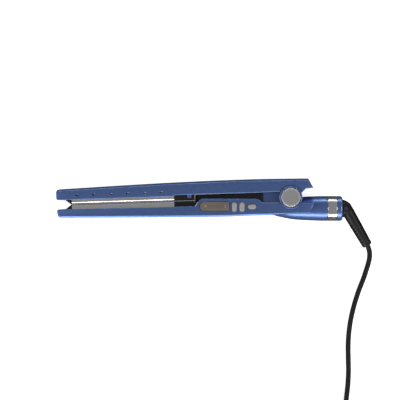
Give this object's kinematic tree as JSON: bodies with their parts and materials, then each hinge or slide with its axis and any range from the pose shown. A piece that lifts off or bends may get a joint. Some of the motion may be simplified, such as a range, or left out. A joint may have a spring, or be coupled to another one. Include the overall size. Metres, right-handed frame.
{
  "type": "flat iron",
  "caption": "Hair straightener with two long hinged arms, mirror heating plates, a side control panel with display and keys, a round handle and a mains cord on a swivelling elbow.",
  "frame": {"origin": "on the hinge axis, at the outer face of the back hinge cap, on which the iron rests as it lies on its side", "axes": "+X along the handle towards the cord, +Y from the lower arm towards the upper arm, +Z along the hinge axis, up towards the side with the control panel"},
  "size_m": [0.3666, 0.3549, 0.039],
  "materials": {
    "shell_blue": "satin metallic blue paint, slightly pearly",
    "inner_black": "fine matt texture, heat resistant",
    "plate_mirror": "mirror polished plating",
    "cap_satin": "satin, finely turned",
    "ring_chrome": "bright chrome",
    "steel": "plain steel",
    "brass": "plain",
    "blade_brass": "nickel-washed brass",
    "ceramic": "ceramic and glass fibre, matt",
    "mica": "layered mica sheet",
    "silicone": "soft silicone",
    "board_green": "circuit board with clear lacquer",
    "window_smoke": "glossy smoked window",
    "key_grey": "silver-grey, satin",
    "cord_black": "soft matt black",
    "tie_black": "hook-and-loop strap"
  },
  "bodies": {
    "lower_arm": {"lower_shell": "shell_blue", "rear_handle": "shell_blue", "end_cap": "shell_blue", "hinge_bezel_front": "shell_blue", "hinge_bezel_back": "shell_blue", "lower_inner_cover": "inner_black", "swivel_socket": "inner_black", "hinge_cap_front": "cap_satin", "hinge_cap_back": "cap_satin", "chrome_ring": "ring_chrome", "plus_switch": "steel", "minus_switch": "steel", "power_switch": "steel", "hinge_pin": "steel", "hinge_spring": "steel", "hinge_washer_front": "brass", "hinge_washer_back": "brass", "line_contact": "brass", "neutral_contact": "brass", "plug_blade_left": "blade_brass", "plug_blade_right": "blade_brass", "lower_lead": "ceramic", "control_board": "board_green", "display_window": "window_smoke", "display_module": "window_smoke", "mains_lead": "cord_black", "cord_lead": "cord_black", "cord_coil": "cord_black", "cord_tail": "cord_black", "plug_body": "cord_black", "cord_tie": "tie_black"},
    "upper_arm": {"upper_shell": "shell_blue", "upper_inner_cover": "inner_black", "upper_screw_front": "steel", "upper_screw_rear": "steel", "upper_lead": "ceramic"},
    "upper_plate_unit": {"upper_carrier": "inner_black", "upper_plate": "plate_mirror", "upper_heater": "ceramic", "upper_insulator": "mica", "upper_float_pad_front": "silicone", "upper_float_pad_rear": "silicone"},
    "lower_plate_unit": {"lower_carrier": "inner_black", "lower_plate": "plate_mirror", "lower_heater": "ceramic", "lower_insulator": "mica", "lower_float_pad_front": "silicone", "lower_float_pad_rear": "silicone", "thermal_fuse": "steel"},
    "plus_key": {"plus_button": "key_grey"},
    "minus_key": {"minus_button": "key_grey"},
    "power_key": {"power_button": "key_grey"},
    "cord_swivel": {"swivel_elbow": "cord_black"}
  },
  "joints": [
    {"name": "arm_hinge", "type": "hinge", "parent": "lower_arm", "child": "upper_arm", "pos_m": [0, 0, 0.0195], "axis": [0, 0, -1], "range_deg": [0, 14]},
    {"name": "upper_plate_float", "type": "slide", "parent": "upper_arm", "child": "upper_plate_unit", "axis": [-0.0326, 0.9995, 0], "range_m": [0, 0.0008], "stiffness_N_per_m": 4000},
    {"name": "lower_plate_float", "type": "slide", "parent": "lower_arm", "child": "lower_plate_unit", "axis": [0.0326, -0.9995, 0], "range_m": [0, 0.0008], "stiffness_N_per_m": 4000},
    {"name": "plus_press", "type": "slide", "parent": "lower_arm", "child": "plus_key", "axis": [0, 0, -1], "range_m": [0, 0.0006], "stiffness_N_per_m": 2000},
    {"name": "minus_press", "type": "slide", "parent": "lower_arm", "child": "minus_key", "axis": [0, 0, -1], "range_m": [0, 0.0006], "stiffness_N_per_m": 2000},
    {"name": "power_press", "type": "slide", "parent": "lower_arm", "child": "power_key", "axis": [0, 0, -1], "range_m": [0, 0.0006], "stiffness_N_per_m": 2000},
    {"name": "cord_swivel_turn", "type": "hinge", "parent": "lower_arm", "child": "cord_swivel", "pos_m": [0.0651, -0.0128, 0.0195], "axis": [-1, 0, 0], "continuous": true}
  ]
}
